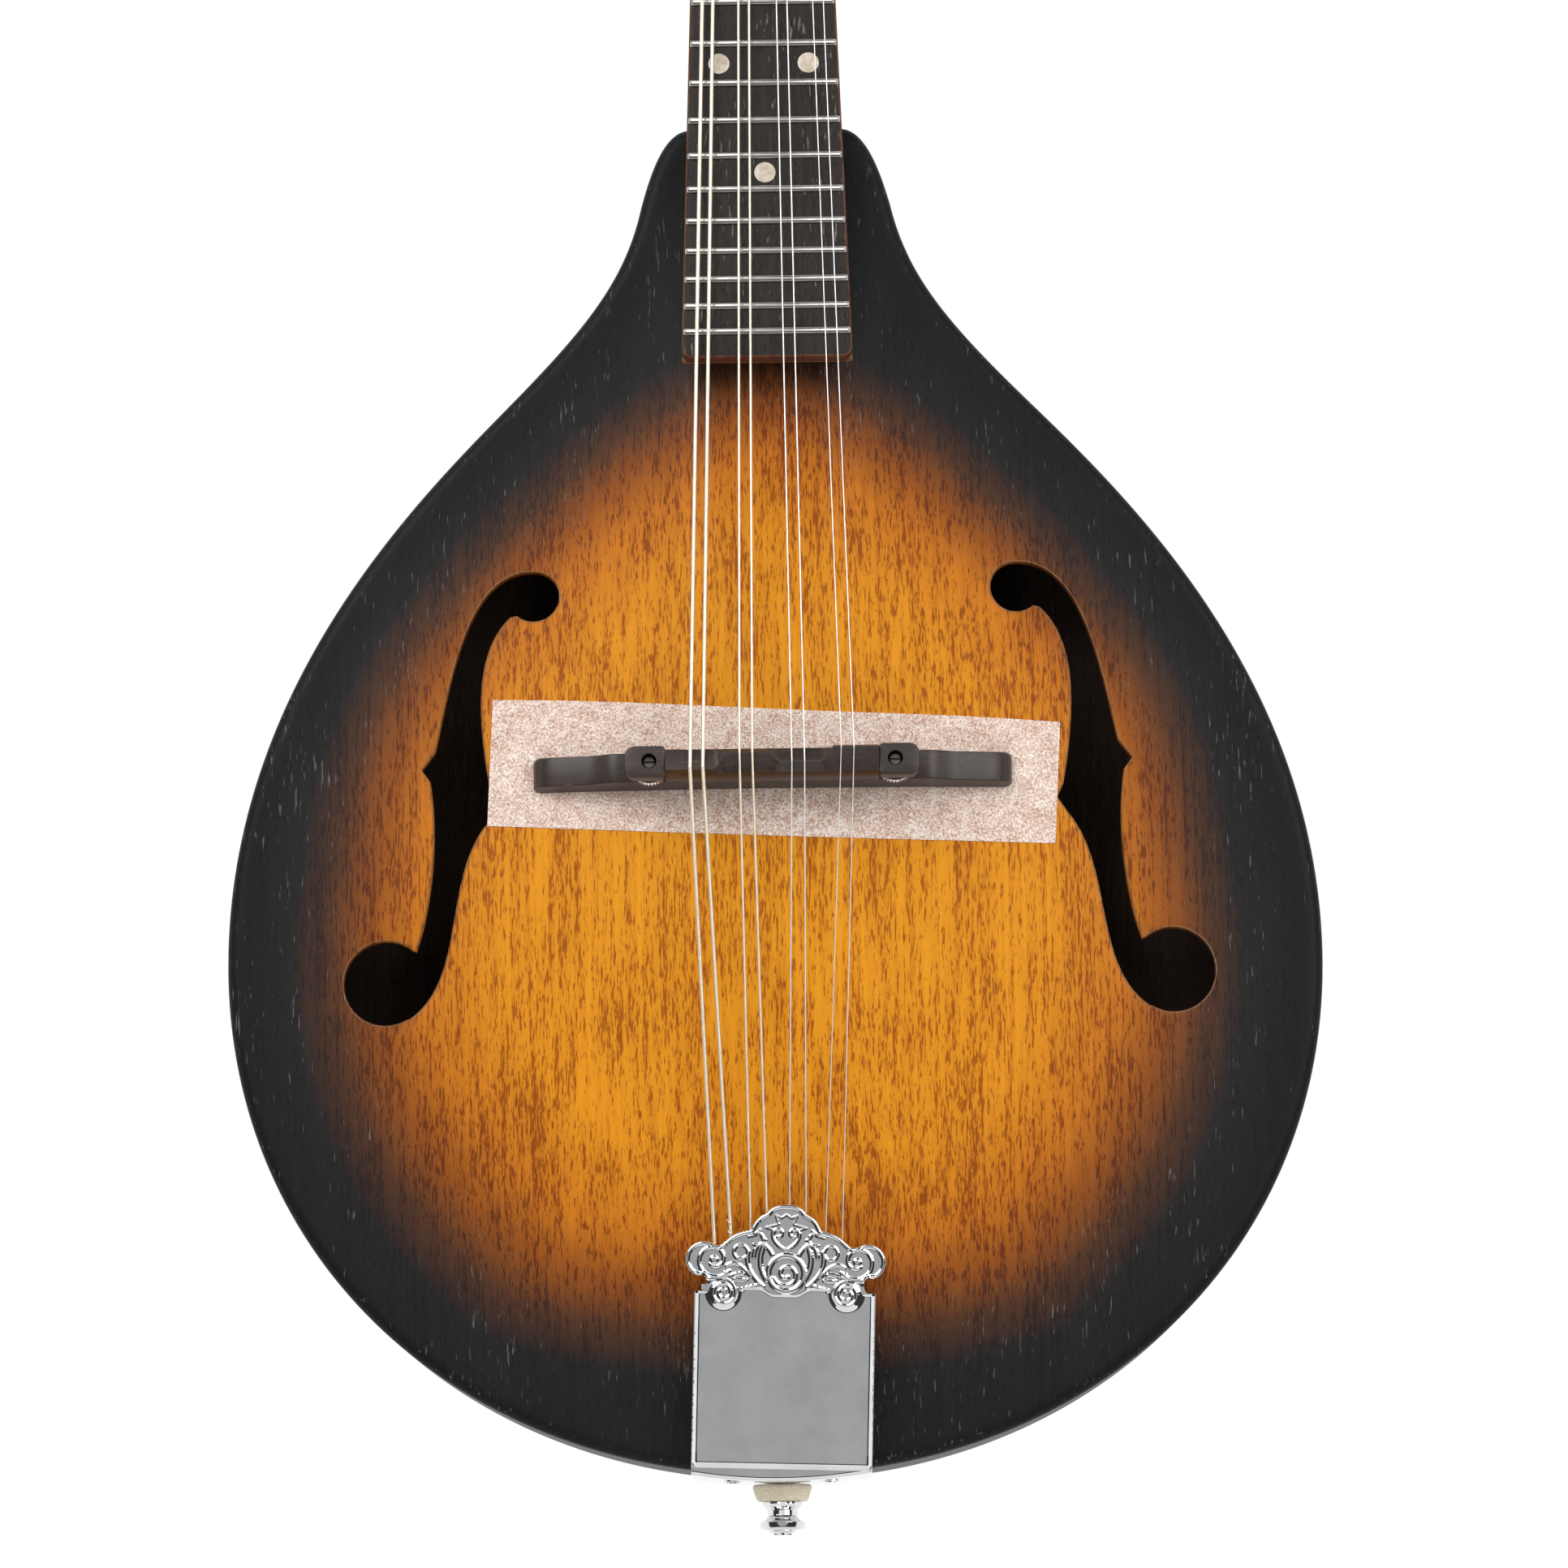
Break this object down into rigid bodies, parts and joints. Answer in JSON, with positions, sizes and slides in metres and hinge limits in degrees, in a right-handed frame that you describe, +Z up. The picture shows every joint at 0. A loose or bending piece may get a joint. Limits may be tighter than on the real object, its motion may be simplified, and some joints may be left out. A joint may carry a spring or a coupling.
{
  "type": "mandolin",
  "caption": "Acoustic mandolin with a carved teardrop body, f-holes, movable height-adjustable bridge, covered tailpiece and geared tuners, held upright.",
  "frame": {"origin": "middle of the strap button's head, on the body's centre line", "axes": "+Z up the neck towards the headstock, -Y out of the face where the strings are, +X towards the treble side"},
  "size_m": [0.2706, 0.0879, 0.66],
  "materials": {
    "stained_top": "satin amber stain fading to black at the edges",
    "stained_body": "satin black stain",
    "stained_neck": "satin black stain",
    "bare_wood": "unfinished",
    "dark_wood": "oiled",
    "bone": "polished",
    "pearl": "polished",
    "fret_wire": "polished",
    "bronze_string": "wound",
    "plain_string": "drawn wire",
    "chrome": "mirror",
    "steel": "drawn bar",
    "brass": "turned",
    "felt": "pressed wool",
    "button_plastic": "polished",
    "tissue": "thin, slightly see-through"
  },
  "bodies": {
    "body": {"top_plate": "stained_top", "back_plate": "stained_body", "rim": "stained_body", "linings": "bare_wood", "neck_block": "bare_wood", "tail_block": "bare_wood", "tone_bars": "bare_wood", "neck": "stained_neck", "truss_rod": "steel", "truss_rod_cover": "dark_wood", "headstock_overlay": "dark_wood", "nut": "bone", "fretboard": "dark_wood", "frets": "fret_wire", "position_markers": "pearl", "strings_g": "bronze_string", "strings_d": "bronze_string", "strings_a": "plain_string", "strings_e": "plain_string", "bridge_base": "dark_wood", "bridge_studs": "chrome", "tailpiece_base": "chrome", "strap_button": "chrome", "felt_washer": "felt", "tail_screws": "chrome", "tuner_plate_bass": "chrome", "tuner_plate_treble": "chrome", "headstock_screws": "chrome", "post_bushings": "chrome", "protective_sheet": "tissue"},
    "saddle": {"bridge_saddle": "dark_wood"},
    "wheel_bass": {"thumbwheel_bass": "chrome"},
    "wheel_treble": {"thumbwheel_treble": "chrome"},
    "cover": {"tailpiece_cover": "chrome"},
    "rod_nut": {"truss_rod_nut": "brass"},
    "worm_1": {"tuner_worm_1": "chrome", "tuner_button_1": "button_plastic"},
    "post_1": {"tuner_post_1": "chrome"},
    "worm_2": {"tuner_worm_2": "chrome", "tuner_button_2": "button_plastic"},
    "post_2": {"tuner_post_2": "chrome"},
    "worm_3": {"tuner_worm_3": "chrome", "tuner_button_3": "button_plastic"},
    "post_3": {"tuner_post_3": "chrome"},
    "worm_4": {"tuner_worm_4": "chrome", "tuner_button_4": "button_plastic"},
    "post_4": {"tuner_post_4": "chrome"},
    "worm_5": {"tuner_worm_5": "chrome", "tuner_button_5": "button_plastic"},
    "post_5": {"tuner_post_5": "chrome"},
    "worm_6": {"tuner_worm_6": "chrome", "tuner_button_6": "button_plastic"},
    "post_6": {"tuner_post_6": "chrome"},
    "worm_7": {"tuner_worm_7": "chrome", "tuner_button_7": "button_plastic"},
    "post_7": {"tuner_post_7": "chrome"},
    "worm_8": {"tuner_worm_8": "chrome", "tuner_button_8": "button_plastic"},
    "post_8": {"tuner_post_8": "chrome"}
  },
  "joints": [
    {"name": "saddle_lift", "type": "slide", "parent": "body", "child": "saddle", "axis": [0, -1, 0], "range_m": [-0.001, 0.002], "deforming": ["strings_g", "strings_d", "strings_a", "strings_e"]},
    {"name": "wheel_bass_turn", "type": "hinge", "parent": "saddle", "child": "wheel_bass", "pos_m": [-0.03, -0.0397, 0.18345], "axis": [0, -1, 0], "range_deg": [-451, 901]},
    {"name": "wheel_treble_turn", "type": "hinge", "parent": "saddle", "child": "wheel_treble", "pos_m": [0.03, -0.0397, 0.18345], "axis": [0, -1, 0], "range_deg": [-451, 901]},
    {"name": "cover_slide", "type": "slide", "parent": "body", "child": "cover", "axis": [0.0332, 0, 0.9995], "range_m": [0, 0.01]},
    {"name": "rod_nut_turn", "type": "hinge", "parent": "body", "child": "rod_nut", "pos_m": [0, -0.01037, 0.54039], "axis": [0, 0.0628, 0.998], "range_deg": [-180, 180]},
    {"name": "button_1_turn", "type": "hinge", "parent": "body", "child": "worm_1", "pos_m": [-0.02, 0.01157, 0.56488], "axis": [1, 0, 0], "continuous": true},
    {"name": "post_1_turn", "type": "hinge", "parent": "body", "child": "post_1", "pos_m": [-0.02, -0.00923, 0.56214], "axis": [0, -0.9532, 0.3024], "continuous": true},
    {"name": "button_2_turn", "type": "hinge", "parent": "body", "child": "worm_2", "pos_m": [-0.02, 0.01853, 0.5868], "axis": [1, 0, 0], "continuous": true},
    {"name": "post_2_turn", "type": "hinge", "parent": "body", "child": "post_2", "pos_m": [-0.02, -0.00228, 0.58406], "axis": [0, -0.9532, 0.3024], "continuous": true},
    {"name": "button_3_turn", "type": "hinge", "parent": "body", "child": "worm_3", "pos_m": [-0.02, 0.02548, 0.60872], "axis": [1, 0, 0], "continuous": true},
    {"name": "post_3_turn", "type": "hinge", "parent": "body", "child": "post_3", "pos_m": [-0.02, 0.00468, 0.60599], "axis": [0, -0.9532, 0.3024], "continuous": true},
    {"name": "button_4_turn", "type": "hinge", "parent": "body", "child": "worm_4", "pos_m": [-0.02, 0.03244, 0.63065], "axis": [1, 0, 0], "continuous": true},
    {"name": "post_4_turn", "type": "hinge", "parent": "body", "child": "post_4", "pos_m": [-0.02, 0.01163, 0.62791], "axis": [0, -0.9532, 0.3024], "continuous": true},
    {"name": "button_5_turn", "type": "hinge", "parent": "body", "child": "worm_5", "pos_m": [0.02, 0.01157, 0.56488], "axis": [1, 0, 0], "continuous": true},
    {"name": "post_5_turn", "type": "hinge", "parent": "body", "child": "post_5", "pos_m": [0.02, -0.00923, 0.56214], "axis": [0, -0.9532, 0.3024], "continuous": true},
    {"name": "button_6_turn", "type": "hinge", "parent": "body", "child": "worm_6", "pos_m": [0.02, 0.01853, 0.5868], "axis": [1, 0, 0], "continuous": true},
    {"name": "post_6_turn", "type": "hinge", "parent": "body", "child": "post_6", "pos_m": [0.02, -0.00228, 0.58406], "axis": [0, -0.9532, 0.3024], "continuous": true},
    {"name": "button_7_turn", "type": "hinge", "parent": "body", "child": "worm_7", "pos_m": [0.02, 0.02548, 0.60872], "axis": [1, 0, 0], "continuous": true},
    {"name": "post_7_turn", "type": "hinge", "parent": "body", "child": "post_7", "pos_m": [0.02, 0.00468, 0.60599], "axis": [0, -0.9532, 0.3024], "continuous": true},
    {"name": "button_8_turn", "type": "hinge", "parent": "body", "child": "worm_8", "pos_m": [0.02, 0.03244, 0.63065], "axis": [1, 0, 0], "continuous": true},
    {"name": "post_8_turn", "type": "hinge", "parent": "body", "child": "post_8", "pos_m": [0.02, 0.01163, 0.62791], "axis": [0, -0.9532, 0.3024], "continuous": true}
  ],
  "couplings": [
    {"joint": "wheel_bass_turn", "follows": "saddle_lift", "rad_per_m": 7854},
    {"joint": "wheel_treble_turn", "follows": "saddle_lift", "rad_per_m": 7854},
    {"joint": "post_1_turn", "follows": "button_1_turn", "ratio": 0.066667},
    {"joint": "post_2_turn", "follows": "button_2_turn", "ratio": 0.066667},
    {"joint": "post_3_turn", "follows": "button_3_turn", "ratio": 0.066667},
    {"joint": "post_4_turn", "follows": "button_4_turn", "ratio": 0.066667},
    {"joint": "post_5_turn", "follows": "button_5_turn", "ratio": 0.066667},
    {"joint": "post_6_turn", "follows": "button_6_turn", "ratio": 0.066667},
    {"joint": "post_7_turn", "follows": "button_7_turn", "ratio": 0.066667},
    {"joint": "post_8_turn", "follows": "button_8_turn", "ratio": 0.066667}
  ]
}
